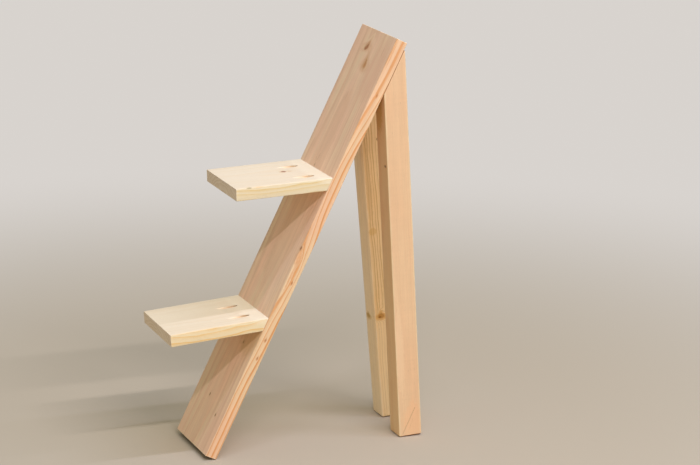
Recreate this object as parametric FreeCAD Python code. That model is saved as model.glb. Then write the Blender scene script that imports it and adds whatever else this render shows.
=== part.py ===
import FreeCAD, Part
import math
import os

# Tiered plant stand: a leaning board with two shelves, propped from behind by two mitred legs.
# Lengths are in millimetres and angles in degrees. The front is towards -Y, and +X is the
# right-hand side of someone who faces the shelves. The origin is on the floor, at the middle
# of the stand's box.

# Front board: planed one-by-six, sawn square at both ends, standing on its back bottom edge
BOARD_LENGTH = 707.7
BOARD_WIDTH = 139.7
BOARD_THICKNESS = 19.05
BOARD_TILT_ANGLE = 26.04      # how far it leans back from upright
BOARD_ARRIS = 0.8             # radius of its eased long edges

# Shelves: the same width of stock, back end bevelled to lie flat on the board
SHELF_THICKNESS = 19.05
SHELF_ARRIS = 0.8
UPPER_SHELF_HEIGHT = 433.4    # floor to the line where its top meets the board
UPPER_SHELF_DEPTH = 157.8     # along its top, from the board to the front end
UPPER_SHELF_DROOP_ANGLE = 1.9    # how far its front end falls below level
UPPER_POCKET_SHARES = (-0.21, 0.30)    # places across the shelf, as shares of its width
LOWER_SHELF_HEIGHT = 220.0
LOWER_SHELF_DEPTH = 159.6
LOWER_SHELF_DROOP_ANGLE = 4.25
LOWER_POCKET_SHARES = (-0.125, 0.275)

# Pocket holes: a stepped drill enters the shelf's top at a low angle and comes out of its end
POCKET_ANGLE = 15.0
POCKET_RADIUS = 4.76
POCKET_EXIT_DEPTH = 9.0       # below the shelf's top, where the axis leaves the bevelled end
POCKET_WOOD = 15.9            # wood left along the axis, from the shoulder to the board

# Legs: planed two-by-two, mitred at the top, each flush with one side of the board
LEG_SECTION = 38.1
LEG_ARRIS = 1.2
RIGHT_LEG_MITRE_ANGLE = 29.65    # between the leg's length and the board's back
RIGHT_LEG_SETBACK = 7.5       # from the board's top down to the leg's tip
LEFT_LEG_MITRE_ANGLE = 31.4
LEFT_LEG_SETBACK = 20.0
LEG_TIP_FLAT = 2.8            # width of the blunt end where the mitre would run out to nothing

# Screws
SHANK_RADIUS = 1.9
SHANK_CLEARANCE = 0.1         # radial, round every screw
TIP_LENGTH = 4.0
TIP_CLEARANCE = 0.5
RECESS_WIDTH = 2.8            # square driver recess
RECESS_DEPTH = 2.0
POCKET_SCREW_LENGTH = 31.75   # under the washer
WASHER_RADIUS = 4.3
WASHER_THICKNESS = 0.9
PAN_RADIUS = 3.1
PAN_CROWN_RADIUS = 2.5
PAN_HEIGHT = 2.2
SHORT_SCREW_LENGTH = 31.75    # whole length, head flush
SHORT_SCREW_DROP = 26.0       # below the leg's tip, down its back
LONG_SCREW_LENGTH = 44.45
LONG_SCREW_DROP = 54.0
COUNTERSUNK_RADIUS = 4.2
COUNTERSUNK_HEIGHT = 2.4

# How far a cutter runs past the wood
CUT_OVERRUN = 5.0

FULL_TURN = 360
ORIGIN = FreeCAD.Vector(0, 0, 0)
ACROSS = FreeCAD.Vector(1, 0, 0)
UP = FreeCAD.Vector(0, 0, 1)
DOWN = FreeCAD.Vector(0, 0, -1)

SHELVES = {
    "upper_shelf": {
        "height": UPPER_SHELF_HEIGHT,
        "depth": UPPER_SHELF_DEPTH,
        "droop": UPPER_SHELF_DROOP_ANGLE,
        "pocket_shares": UPPER_POCKET_SHARES,
    },
    "lower_shelf": {
        "height": LOWER_SHELF_HEIGHT,
        "depth": LOWER_SHELF_DEPTH,
        "droop": LOWER_SHELF_DROOP_ANGLE,
        "pocket_shares": LOWER_POCKET_SHARES,
    },
}

LEGS = {
    "right_leg": {"side": 1, "mitre": RIGHT_LEG_MITRE_ANGLE, "setback": RIGHT_LEG_SETBACK},
    "left_leg": {"side": -1, "mitre": LEFT_LEG_MITRE_ANGLE, "setback": LEFT_LEG_SETBACK},
}


def sine(angle):
    return math.sin(math.radians(angle))


def cosine(angle):
    return math.cos(math.radians(angle))


def tangent(angle):
    return math.tan(math.radians(angle))


def placed(shape, placement):
    """A copy of the shape, moved to the placement."""
    copy = shape.copy()
    copy.Placement = placement.multiply(copy.Placement)
    return copy


def leaning(point, angle):
    """Placement at a point, turned about X: a positive angle tips the top towards the front."""
    return FreeCAD.Placement(point, FreeCAD.Rotation(ACROSS, angle))


def is_upright(edge):
    """Whether a straight edge runs along Z."""
    direction = edge.Curve.Direction
    return abs(direction.z) > abs(direction.x) + abs(direction.y)


def lumber(width, thickness, length, arris):
    """Planed stock standing on its end: back face on y = 0, long edges eased."""
    corner = FreeCAD.Vector(-width / 2, -thickness, 0)
    bar = Part.makeBox(width, thickness, length, corner)
    return bar.makeFillet(arris, [edge for edge in bar.Edges if is_upright(edge)])


def half_space(point, direction, reach):
    """Large block whose flat side goes through the point and faces away from the direction."""
    corner = FreeCAD.Vector(-reach, -reach, 0)
    block = Part.makeBox(2 * reach, 2 * reach, reach, corner)
    return placed(block, FreeCAD.Placement(point, FreeCAD.Rotation(UP, direction)))


def turned(outline):
    """Solid turned about Z from a closed outline of (radius, height) points."""
    points = [FreeCAD.Vector(radius, 0, height) for radius, height in outline]
    face = Part.Face(Part.makePolygon(points + points[:1]))
    return face.revolve(ORIGIN, UP, FULL_TURN)


# The board's planes

def board_back_point(distance):
    """Point on the middle of the board's back, so far up from its bottom edge."""
    return FreeCAD.Vector(0, distance * sine(BOARD_TILT_ANGLE), distance * cosine(BOARD_TILT_ANGLE))


def board_outward():
    """Direction square out of the board's front face."""
    return FreeCAD.Vector(0, -cosine(BOARD_TILT_ANGLE), sine(BOARD_TILT_ANGLE))


def board_front_point(height):
    """Point on the middle of the board's front, at a height above the floor."""
    distance = (height - BOARD_THICKNESS * sine(BOARD_TILT_ANGLE)) / cosine(BOARD_TILT_ANGLE)
    return board_back_point(distance) + board_outward() * BOARD_THICKNESS


# Where each piece stands

def shelf_placement(shelf):
    """The shelf's own frame: top on z = 0, back top edge on y = 0, front towards -Y."""
    return leaning(board_front_point(shelf["height"]), shelf["droop"])


def leg_lean(leg):
    """How far the leg leans forward from upright."""
    return leg["mitre"] - BOARD_TILT_ANGLE


def leg_tip(leg):
    """Point where the plane of the leg's back meets the board's back."""
    return board_back_point(BOARD_LENGTH - leg["setback"])


def leg_placement(leg):
    """The leg's own frame: tip at the origin, back on y = 0, length down -Z."""
    aside = FreeCAD.Vector(leg["side"] * (BOARD_WIDTH - LEG_SECTION) / 2, 0, 0)
    return leaning(leg_tip(leg) + aside, leg_lean(leg))


def leg_length(leg):
    """Length of the leg's back, from the tip to the floor."""
    return leg_tip(leg).z / cosine(leg_lean(leg))


def leg_bluntness(leg):
    """How far below the tip the blunt end lies, where the mitred leg is as thick as its flat."""
    return LEG_TIP_FLAT / tangent(leg["mitre"])


# Screws and the holes that they sit in, each along +Z from its seat

def driver_recess(top):
    """Square recess let down into a screw's head from its top."""
    corner = FreeCAD.Vector(-RECESS_WIDTH / 2, -RECESS_WIDTH / 2, top)
    return Part.makeBox(RECESS_WIDTH, RECESS_WIDTH, RECESS_DEPTH, corner)


def pocket_screw():
    """Pan head on a washer that bears on the pocket's shoulder at z = 0."""
    crown = -WASHER_THICKNESS - PAN_HEIGHT
    body = turned([
        (0, crown),
        (PAN_CROWN_RADIUS, crown),
        (PAN_RADIUS, -WASHER_THICKNESS),
        (WASHER_RADIUS, -WASHER_THICKNESS),
        (WASHER_RADIUS, 0),
        (SHANK_RADIUS, 0),
        (SHANK_RADIUS, POCKET_SCREW_LENGTH - TIP_LENGTH),
        (0, POCKET_SCREW_LENGTH),
    ])
    return body.cut(driver_recess(crown))


def countersunk_screw(length):
    """Flat head flush at z = 0."""
    body = turned([
        (0, 0),
        (COUNTERSUNK_RADIUS, 0),
        (SHANK_RADIUS, COUNTERSUNK_HEIGHT),
        (SHANK_RADIUS, length - TIP_LENGTH),
        (0, length),
    ])
    return body.cut(driver_recess(0))


def shank_hole(length):
    """Hole for a screw's shank, from its seat to just past its tip."""
    return Part.makeCylinder(SHANK_RADIUS + SHANK_CLEARANCE, length + TIP_CLEARANCE)


def countersunk_hole(length):
    """Shank hole with a countersink that the head fills."""
    mouth = Part.makeCone(
        COUNTERSUNK_RADIUS + SHANK_CLEARANCE, SHANK_RADIUS + SHANK_CLEARANCE, COUNTERSUNK_HEIGHT)
    approach = Part.makeCylinder(
        COUNTERSUNK_RADIUS + SHANK_CLEARANCE, CUT_OVERRUN, FreeCAD.Vector(0, 0, -CUT_OVERRUN))
    return mouth.fuse([approach, shank_hole(length)])


def pocket_bore():
    """Wide part of a pocket hole, from its shoulder back out through the shelf's top."""
    run = (POCKET_EXIT_DEPTH + POCKET_RADIUS) / sine(POCKET_ANGLE) + CUT_OVERRUN
    return Part.makeCylinder(POCKET_RADIUS, run, FreeCAD.Vector(0, 0, -run))


def pocket_seats(shelf):
    """Placements of the shelf's pocket shoulders, with +Z along each screw."""
    bevel = BOARD_TILT_ANGLE + shelf["droop"]
    drive = FreeCAD.Vector(0, cosine(POCKET_ANGLE), -sine(POCKET_ANGLE))
    exit_point = FreeCAD.Vector(0, -POCKET_EXIT_DEPTH * tangent(bevel), -POCKET_EXIT_DEPTH)
    seats = []
    for share in shelf["pocket_shares"]:
        aside = FreeCAD.Vector(share * BOARD_WIDTH, 0, 0)
        seat = exit_point - drive * POCKET_WOOD + aside
        own = FreeCAD.Placement(seat, FreeCAD.Rotation(UP, drive))
        seats.append(shelf_placement(shelf).multiply(own))
    return seats


def leg_seat(leg, drop):
    """Placement of a screw's head on the leg's back, so far below the tip."""
    forward = FreeCAD.Vector(0, -1, 0)
    own = FreeCAD.Placement(FreeCAD.Vector(0, 0, -drop), FreeCAD.Rotation(UP, forward))
    return leg_placement(leg).multiply(own)


# Wooden pieces

def front_board():
    """Leaning board, with the ends of all the screw holes in it."""
    board = placed(
        lumber(BOARD_WIDTH, BOARD_THICKNESS, BOARD_LENGTH, BOARD_ARRIS), leaning(ORIGIN, -BOARD_TILT_ANGLE))
    for shelf in SHELVES.values():
        for seat in pocket_seats(shelf):
            board = board.cut(placed(shank_hole(POCKET_SCREW_LENGTH), seat))
    for leg in LEGS.values():
        board = board.cut(placed(shank_hole(SHORT_SCREW_LENGTH), leg_seat(leg, SHORT_SCREW_DROP)))
        board = board.cut(placed(shank_hole(LONG_SCREW_LENGTH), leg_seat(leg, LONG_SCREW_DROP)))
    return board


def shelf_board(shelf):
    """Shelf with its grain front to back, bevelled back end and two pocket holes."""
    stock = lumber(BOARD_WIDTH, SHELF_THICKNESS, shelf["depth"], SHELF_ARRIS)
    laid = placed(stock, leaning(ORIGIN, FULL_TURN / 4))
    board = placed(laid, shelf_placement(shelf))
    reach = BOARD_WIDTH + shelf["depth"]
    behind = half_space(board_front_point(shelf["height"]), -board_outward(), reach)
    board = board.cut(behind)
    for seat in pocket_seats(shelf):
        board = board.cut(placed(pocket_bore(), seat))
        board = board.cut(placed(shank_hole(POCKET_SCREW_LENGTH), seat))
    return board


def prop_leg(leg):
    """Leg mitred against the board's back, blunt at its tip, level at the floor, with two holes."""
    length = leg_length(leg) + LEG_SECTION
    stock = lumber(LEG_SECTION, LEG_SECTION, length, LEG_ARRIS)
    stock.translate(DOWN * (length + leg_bluntness(leg)))
    bar = placed(stock, leg_placement(leg))
    reach = length + BOARD_WIDTH
    bar = bar.cut(half_space(ORIGIN, board_outward(), 2 * reach))
    bar = bar.cut(half_space(ORIGIN, DOWN, 2 * reach))
    bar = bar.cut(placed(countersunk_hole(SHORT_SCREW_LENGTH), leg_seat(leg, SHORT_SCREW_DROP)))
    return bar.cut(placed(countersunk_hole(LONG_SCREW_LENGTH), leg_seat(leg, LONG_SCREW_DROP)))


def shelf_screws(shelf):
    """The pocket screws that hold one shelf."""
    return Part.makeCompound([placed(pocket_screw(), seat) for seat in pocket_seats(shelf)])


def leg_screws(length, drop):
    """Matching screws, one in each leg."""
    return Part.makeCompound(
        [placed(countersunk_screw(length), leg_seat(leg, drop)) for leg in LEGS.values()])


# The whole stand

def box_middle():
    """How far the middle of the stand's box lies behind the board's bottom edge."""
    fronts = []
    for shelf in SHELVES.values():
        edge = shelf_placement(shelf).multVec(FreeCAD.Vector(0, -shelf["depth"], 0))
        fronts.append(edge.y)
    backs = []
    for leg in LEGS.values():
        heel = leg_placement(leg).multVec(DOWN * leg_length(leg))
        backs.append(heel.y)
    return (min(fronts) + max(backs)) / 2


def build_pieces():
    """Every piece by its node's name, standing on the floor about the origin."""
    pieces = {"front_board": front_board()}
    for name, shelf in SHELVES.items():
        pieces[name] = shelf_board(shelf)
        pieces[name + "_screws"] = shelf_screws(shelf)
    for name, leg in LEGS.items():
        pieces[name] = prop_leg(leg)
    pieces["short_leg_screws"] = leg_screws(SHORT_SCREW_LENGTH, SHORT_SCREW_DROP)
    pieces["long_leg_screws"] = leg_screws(LONG_SCREW_LENGTH, LONG_SCREW_DROP)
    centring = FreeCAD.Placement(FreeCAD.Vector(0, -box_middle(), 0), FreeCAD.Rotation())
    return {name: placed(piece, centring) for name, piece in pieces.items()}


os.makedirs("parts", exist_ok=True)
for node, solid in build_pieces().items():
    solid.exportStep("parts/" + node + ".step")
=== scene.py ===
import math

import bmesh
import bpy
from mathutils import Matrix, Vector, noise


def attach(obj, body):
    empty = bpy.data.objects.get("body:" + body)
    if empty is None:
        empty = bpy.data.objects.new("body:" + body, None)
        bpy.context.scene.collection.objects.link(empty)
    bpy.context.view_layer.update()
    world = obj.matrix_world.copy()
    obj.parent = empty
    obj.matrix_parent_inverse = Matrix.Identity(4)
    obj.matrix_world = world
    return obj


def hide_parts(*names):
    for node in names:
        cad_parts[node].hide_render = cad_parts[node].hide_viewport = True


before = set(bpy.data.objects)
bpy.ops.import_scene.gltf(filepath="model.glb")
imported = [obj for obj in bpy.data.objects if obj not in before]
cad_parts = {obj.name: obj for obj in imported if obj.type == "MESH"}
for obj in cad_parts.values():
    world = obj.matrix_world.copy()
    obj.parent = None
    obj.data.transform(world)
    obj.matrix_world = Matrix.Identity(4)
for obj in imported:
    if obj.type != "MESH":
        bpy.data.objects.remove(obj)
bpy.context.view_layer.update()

# Tiered plant stand of bare planed softwood. Lengths are in metres and angles in degrees.
# Each wooden piece has its own lumber frame: X across the width, Y from the show face to the
# back and Z along the grain, with the origin at the middle of the show face's lower end.

# How each piece leans, turned about X from a board that stands upright with its show face
# to the front. A shelf is such a board laid back, so that its show face is its top.
BOARD_LEAN = -26.04
UPPER_SHELF_LEAN = 1.9 - 90
LOWER_SHELF_LEAN = 4.25 - 90
RIGHT_LEG_LEAN = 3.61
LEFT_LEG_LEAN = 5.36

# Screw holes
POCKET_ANGLE = 15.0
POCKET_RADIUS = 0.00476
POCKET_RUN = 0.085
SHANK_HOLE_RADIUS = 0.002
TIP_CLEARANCE = 0.0005
POCKET_SCREW_LENGTH = 0.03175
SHORT_SCREW_LENGTH = 0.03175
LONG_SCREW_LENGTH = 0.04445
COUNTERSINK_RADIUS = 0.0043
COUNTERSINK_DEPTH = 0.0024
CUT_OVERRUN = 0.005

# Small faults of the sawing. A nick or wane is (corner, height, reach, depth).
UPPER_SKEW = 0.0010
LOWER_SKEW = 0.0018
HEEL_GAP = 0.0018
UPPER_WANE = [(3, 0.0215, 0.0045, 0.0011), (3, 0.0365, 0.005, 0.0009)]
BOARD_NICKS = [(3, 0.3560, 0.005, 0.0012), (3, 0.3430, 0.010, 0.0014)]

# Right-hand sides that carry marks, as a distance from the piece's middle
BOARD_SIDE = 0.0699
LEG_SIDE = 0.01905

# Meshes: gaps between points along the grain, across the width and through the thickness, steps
# of an eased edge's arc, sides of a drilled hole, and the least turn of an edge that stays sharp
RING_GAP = 0.005
ACROSS_GAP = 0.012
DEEP_GAP = 0.009
ARC_STEPS = 4
CUTTER_SIDES = 48
SHARP_ANGLE = 28
TOLERANCE = 1e-5

# Corners of a cross-section as (side, face), from the back right one
CORNERS = ((1, 1), (-1, 1), (-1, -1), (1, -1))

# Places in a wooden piece's list of materials, after the planed one
SAWN = 1
DRILLED = 2

# Where an effect in the wood sets in, from nothing to whole: the drift of the rings towards the
# right-hand side, a side's colour next to its arris, the show face's tint as a share of the
# thickness, and the tint of a foot by its height, painted shade on the board's bottom end. A
# hole's colour has one share at its deep end.
DRIFT_REACH = (0.040, 0.066)
SIDE_REACH = (0.0014, 0.0004)
FACE_REACH = (0.6, 0.4)
FOOT_REACH = (0.08, 0.04)
BORE_SHARE = 0.85

# Camera, in the photograph's 700 x 465 frame
FOCAL_PIXELS = 2631.18
FRAME_WIDTH = 700
SENSOR_WIDTH = 36.0
CAMERA_PLACE = (3.71706, -1.40878, 1.36434)
CAMERA_AZIMUTH = 67.848
CAMERA_PITCH = 14.517
CAMERA_ROLL = 0.661

# Light. The room's colour goes over to the front's between two values of a direction's Y.
STAND_MIDDLE = Vector((0, 0, 0.3))
SIDE_LAMP = {
    "energy": 116.0, "colour": (1.01, 0.95, 0.96), "direction": (1.06, 0.06, 1.0),
    "distance": 4.5, "width": 0.12, "length": 3.6}
TOP_LAMP = {
    "energy": 43.0, "colour": (0.96, 1.0, 1.3), "direction": (0.31, 0.22, 1.0),
    "distance": 3.6, "width": 0.12, "length": 3.4}
ROOM_LEVEL = 0.43
ROOM_COLOUR = (1.0, 0.97, 0.80)
FRONT_COLOUR = (1.04, 1.05, 0.84)
FRONT_REACH = (0.4, -0.8)

# Floor, which fades to a paler far colour between two distances from the stand
FLOOR_REACH = 14.0
FLOOR_FADE = (0.45, 1.9)
FLOOR_COLOUR = (0.52, 0.455, 0.365)
FLOOR_BOUNCE_COLOUR = (0.52, 0.43, 0.28)
FAR_FLOOR_COLOUR = (0.66, 0.625, 0.595)


# Node trees

def rgba(colour):
    return (*colour, 1.0)


class Tree:
    """Short way to write a node tree: each call adds one node."""

    def __init__(self, tree):
        self.tree = tree

    def node(self, kind, inputs=(), **settings):
        made = self.tree.nodes.new("ShaderNode" + kind)
        for name, value in settings.items():
            setattr(made, name, value)
        for key, value in dict(inputs).items():
            self.feed(made.inputs[key], value)
        return made

    def feed(self, socket, value):
        if isinstance(value, bpy.types.NodeSocket):
            self.tree.links.new(value, socket)
        else:
            socket.default_value = value

    def math(self, operation, *values, clamp=False):
        made = self.node("Math", enumerate(values), operation=operation, use_clamp=clamp)
        return made.outputs["Value"]

    def vector(self, operation, *values):
        made = self.node("VectorMath", enumerate(values), operation=operation)
        return made.outputs["Value" if operation in ("LENGTH", "DOT_PRODUCT") else "Vector"]

    def scale(self, vector, factor):
        made = self.node("VectorMath", {0: vector, "Scale": factor}, operation="SCALE")
        return made.outputs["Vector"]

    def stretch(self, vector, across, along):
        """The place, scaled so that noise of size 1 is stretched along the grain."""
        return self.vector("MULTIPLY", vector, (1 / across, 1 / across, 1 / along))

    def noise(self, vector, detail=2.0, roughness=0.5, output="Fac"):
        inputs = {"Vector": vector, "Scale": 1.0, "Detail": detail, "Roughness": roughness}
        return self.node("TexNoise", inputs).outputs[output]

    def smooth(self, value, low, high):
        """0 below low and 1 above high, or the other way round where low is the larger."""
        inputs = {"Value": value, "From Min": low, "From Max": high}
        made = self.node("MapRange", inputs, interpolation_type="SMOOTHSTEP")
        return made.outputs["Result"]

    def remap(self, value, low, high):
        """A share from 0 to 1, spread from low to high."""
        inputs = {"Value": value, "To Min": low, "To Max": high}
        return self.node("MapRange", inputs).outputs["Result"]

    def course(self, value, points):
        """Height at a value of the smooth line through points, each (value, height) in 0 to 1."""
        made = self.node("FloatCurve", {"Value": value})
        line = made.mapping.curves[0].points
        line[0].location, line[1].location = points[0], points[-1]
        for point in points[1:-1]:
            line.new(*point)
        made.mapping.update()
        return made.outputs["Value"]

    def mix(self, factor, first, second, blend="MIX"):
        inputs = {0: factor, 6: first, 7: second}
        return self.node("Mix", inputs, data_type="RGBA", blend_type=blend).outputs[2]

    def cover(self, colour, mask, paint):
        """A colour with a paint over it where the mask is. The paint is (colour, share)."""
        tone, share = paint
        return self.mix(self.math("MULTIPLY", mask, share), colour, rgba(tone))

    def group(self, tree, **inputs):
        made = self.tree.nodes.new("ShaderNodeGroup")
        made.node_tree = tree
        for name, value in inputs.items():
            self.feed(made.inputs[name.replace("_", " ")], value)
        return made.outputs


SOCKETS = {float: "NodeSocketFloat", tuple: "NodeSocketVector"}


def group_tree(name, inputs, outputs):
    """A shader node group: inputs by name with their defaults, and outputs by name."""
    tree = bpy.data.node_groups.new(name, "ShaderNodeTree")
    for label, default in inputs.items():
        socket = tree.interface.new_socket(
            name=label, in_out="INPUT", socket_type=SOCKETS[type(default)])
        socket.default_value = default
    for label in outputs:
        tree.interface.new_socket(name=label, in_out="OUTPUT", socket_type="NodeSocketFloat")
    given = tree.nodes.new("NodeGroupInput").outputs
    result = tree.nodes.new("NodeGroupOutput").inputs
    return tree, Tree(tree), given, result


def growth_rings():
    """Growth rings about a pith line that wanders along the grain."""
    tree, t, given, result = group_tree("Growth rings", {
        "Place": (0.0, 0.0, 0.0),
        "Pith": (0.0, 0.1, 0.0),
        "Ring Width": 0.005,
        "Wander": 0.01,
        "Ripple": 0.002,
        "Swell": 0.0,
    }, ("Latewood", "Band", "Ring Tone"))
    place = given["Place"]
    slow = t.noise(t.stretch(place, 0.15, 0.5), output="Color")
    quick = t.noise(t.stretch(place, 0.025, 0.07), output="Color")
    slow = t.scale(t.vector("SUBTRACT", slow, (0.5, 0.5, 0.5)), given["Wander"])
    quick = t.scale(t.vector("SUBTRACT", quick, (0.5, 0.5, 0.5)), given["Ripple"])
    moved = t.vector("ADD", t.vector("ADD", place, slow), quick)
    offset = t.vector("MULTIPLY", t.vector("SUBTRACT", moved, given["Pith"]), (1.0, 1.0, 0.0))
    radius = t.math("ADD", t.vector("LENGTH", offset), given["Swell"])
    turns = t.math("DIVIDE", radius, given["Ring Width"])
    slower = {"W": t.math("MULTIPLY", turns, 0.55), "Scale": 1.0, "Detail": 0.0}
    uneven = t.node("TexNoise", slower, noise_dimensions="1D").outputs["Fac"]
    turns = t.math("ADD", turns, t.remap(uneven, -0.6, 0.6))
    phase = t.math("FRACT", turns)
    late = t.math("MULTIPLY", t.smooth(phase, 0.5, 0.84), t.smooth(phase, 1.0, 0.92))
    band = t.math("MULTIPLY", t.smooth(phase, 0.1, 0.75), t.smooth(phase, 1.0, 0.8))
    ring = t.math("FLOOR", turns)
    tone = t.node("TexWhiteNoise", {"W": ring}, noise_dimensions="1D")
    t.feed(result["Latewood"], late)
    t.feed(result["Band"], band)
    t.feed(result["Ring Tone"], tone.outputs["Value"])
    return tree


def fibre_grain():
    """Streaks and fibres that run along the grain."""
    tree, t, given, result = group_tree("Fibre grain", {
        "Place": (0.0, 0.0, 0.0),
        "Streak Width": 0.006,
        "Fibre Width": 0.0009,
    }, ("Streak", "Fibre", "Blotch", "Mottle", "Ripple", "Flecks"))
    place = given["Place"]
    for label, length in (("Streak", 26.0), ("Fibre", 60.0)):
        across = t.math("DIVIDE", 1.0, given[label + " Width"])
        along = t.math("DIVIDE", across, length)
        scale = t.node("CombineXYZ", {"X": across, "Y": across, "Z": along}).outputs[0]
        lines = t.noise(t.vector("MULTIPLY", place, scale), detail=3.0, roughness=0.6)
        t.feed(result[label], lines)
    t.feed(result["Blotch"], t.noise(t.stretch(place, 0.05, 0.16), detail=1.0))
    t.feed(result["Mottle"], t.noise(t.stretch(place, 0.011, 0.03), detail=3.0, roughness=0.6))
    t.feed(result["Ripple"], t.noise(t.stretch(place, 0.05, 0.004), detail=1.0))
    specks = t.noise(t.stretch(place, 0.0006, 0.009), detail=1.0)
    t.feed(result["Flecks"], t.smooth(specks, 0.66, 0.76))
    return tree


def knot():
    """A knot, a discoloured spot or a patch of painted light or shade: its core, the rim round it
    and how far it bends the grain.
    """
    tree, t, given, result = group_tree("Knot", {
        "Place": (0.0, 0.0, 0.0),
        "Centre": (0.0, 0.0, 0.0),
        "Size": (0.004, 0.006, 0.006),
        "Tail": 2.0,
        "Lean": 0.0,
        "Raggedness": 0.3,
        "Bend": 0.002,
    }, ("Core", "Rim", "Swell"))
    away = t.vector("SUBTRACT", given["Place"], given["Centre"])
    axes = t.node("SeparateXYZ", {0: t.vector("DIVIDE", away, given["Size"])}).outputs
    above = t.math("MAXIMUM", axes["Z"], 0.0)
    below = t.math("MINIMUM", axes["Z"], 0.0)
    rise = t.math("ADD", t.math("DIVIDE", above, given["Tail"]), below)
    narrow = t.math("SUBTRACT", 1.0, t.math("MULTIPLY", t.smooth(rise, 0.0, 1.1), 0.62))
    leaning = t.math("SUBTRACT", axes["X"], t.math("MULTIPLY", axes["Z"], given["Lean"]))
    side = t.math("DIVIDE", leaning, narrow)
    deep = t.math("DIVIDE", axes["Y"], narrow)
    bent = t.node("CombineXYZ", {"X": side, "Y": deep, "Z": rise}).outputs[0]
    rough = t.noise(t.stretch(given["Place"], 0.0014, 0.005), detail=3.0)
    ragged = t.math("MULTIPLY", t.math("SUBTRACT", rough, 0.5), given["Raggedness"])
    far = t.math("ADD", t.vector("LENGTH", bent), t.math("MULTIPLY", ragged, 2.0))
    t.feed(result["Core"], t.smooth(far, 1.15, 0.6))
    t.feed(result["Rim"], t.math("MULTIPLY", t.smooth(far, 2.0, 1.1), t.smooth(far, 0.6, 1.0)))
    wide = t.vector("LENGTH", t.vector("MULTIPLY", bent, (0.3, 0.3, 0.36)))
    t.feed(result["Swell"], t.math("MULTIPLY", t.smooth(wide, 1.0, 0.1), given["Bend"]))
    return tree


def drawn_line():
    """A pencil line between two places on a face."""
    tree, t, given, result = group_tree("Drawn line", {
        "Place": (0.0, 0.0, 0.0),
        "Start": (0.0, 0.0, 0.0),
        "Finish": (0.0, 0.0, 0.01),
        "Width": 0.0006,
    }, ("Line",))
    run = t.vector("SUBTRACT", given["Finish"], given["Start"])
    away = t.vector("SUBTRACT", given["Place"], given["Start"])
    along = t.vector("DOT_PRODUCT", away, run)
    share = t.math("DIVIDE", along, t.vector("DOT_PRODUCT", run, run), clamp=True)
    distance = t.vector("LENGTH", t.vector("SUBTRACT", away, t.scale(run, share)))
    broken = t.noise(t.stretch(given["Place"], 0.0008, 0.0008), detail=2.0)
    line = t.smooth(distance, given["Width"], 0.0)
    t.feed(result["Line"], t.math("MULTIPLY", line, t.smooth(broken, 0.3, 0.55)))
    return tree


def edge_and_end_masks():
    """Long edges and end edges of a piece, where planing, sawing and handling bruise the wood, and
    where the ends also carry painted highlights and painted shade.
    """
    tree, t, given, result = group_tree("Worn edges", {
        "Place": (0.0, 0.0, 0.0),
        "Half Width": 0.07,
        "Thickness": 0.019,
        "Reach": 0.002,
        "Bottom Face": 0.0,
        "Bottom Back": 0.0,
        "Top Face": 0.7,
        "Top Back": 0.7,
    }, ("Arris", "Side", "Bottom End", "Top End"))
    axes = t.node("SeparateXYZ", {0: given["Place"]}).outputs
    in_from_side = t.math("SUBTRACT", given["Half Width"], t.math("ABSOLUTE", axes["X"]))
    half = t.math("MULTIPLY", given["Thickness"], 0.5)
    off_middle = t.math("ABSOLUTE", t.math("SUBTRACT", axes["Y"], half))
    in_from_face = t.math("SUBTRACT", half, off_middle)
    uneven = t.noise(t.stretch(given["Place"], 0.004, 0.02), detail=2.0)
    reach = t.math("MULTIPLY", given["Reach"], t.remap(uneven, 0.3, 1.7))
    t.feed(result["Arris"], t.smooth(t.math("ADD", in_from_side, in_from_face), reach, 0.0))
    t.feed(result["Side"], t.smooth(in_from_side, *SIDE_REACH))
    share = t.math("DIVIDE", axes["Y"], given["Thickness"])
    rough = t.noise(t.stretch(given["Place"], 0.0012, 0.0012), detail=3.0)
    end_reach = t.math("MULTIPLY", given["Reach"], t.remap(rough, 0.2, 1.8))
    for end in ("Bottom", "Top"):
        face, back = given[end + " Face"], given[end + " Back"]
        height = t.math("ADD", face, t.math("MULTIPLY", share, t.math("SUBTRACT", back, face)))
        away = t.math("ABSOLUTE", t.math("SUBTRACT", axes["Z"], height))
        t.feed(result[end + " End"], t.smooth(away, end_reach, 0.0))
    return tree


def saw_kerf():
    """Marks of the saw across a cut end, and the open pores of end grain."""
    tree, t, given, result = group_tree("Saw kerf", {
        "Place": (0.0, 0.0, 0.0),
        "Tooth": 0.0011,
    }, ("Marks", "Pores"))
    turn = {"Vector": given["Place"], "Angle": math.radians(24)}
    slant = t.node("VectorRotate", turn, rotation_type="Z_AXIS").outputs[0]
    tooth = t.math("DIVIDE", 1.0, given["Tooth"])
    stroke = t.math("MULTIPLY", tooth, 0.04)
    scale = t.node("CombineXYZ", {"X": tooth, "Y": stroke, "Z": tooth}).outputs[0]
    t.feed(result["Marks"], t.noise(t.vector("MULTIPLY", slant, scale), detail=2.0))
    t.feed(result["Pores"], t.noise(t.stretch(given["Place"], 0.0007, 0.0007), detail=3.0))
    return tree


GROUPS = {}


def shared(name):
    """The effect's node group, built the first time that a material asks for it."""
    makers = {
        "rings": growth_rings, "fibre": fibre_grain, "knot": knot, "edges": edge_and_end_masks,
        "kerf": saw_kerf, "line": drawn_line}
    if name not in GROUPS:
        GROUPS[name] = makers[name]()
    return GROUPS[name]


# Wood

def place_of(t):
    return t.node("TexCoord").outputs["Object"]


def new_material(name):
    """An empty material with its shader and output."""
    material = bpy.data.materials.new(name)
    material.use_nodes = True
    material.node_tree.nodes.clear()
    t = Tree(material.node_tree)
    shader = t.node("BsdfPrincipled")
    out = t.node("OutputMaterial")
    t.feed(out.inputs["Surface"], shader.outputs["BSDF"])
    return material, t, shader


def add_relief(t, shader, height, distance, strength):
    """Fine relief on a material's own shader."""
    relief = t.node("Bump", {"Height": height, "Distance": distance, "Strength": strength})
    t.feed(shader.inputs["Normal"], relief.outputs["Normal"])


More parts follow.
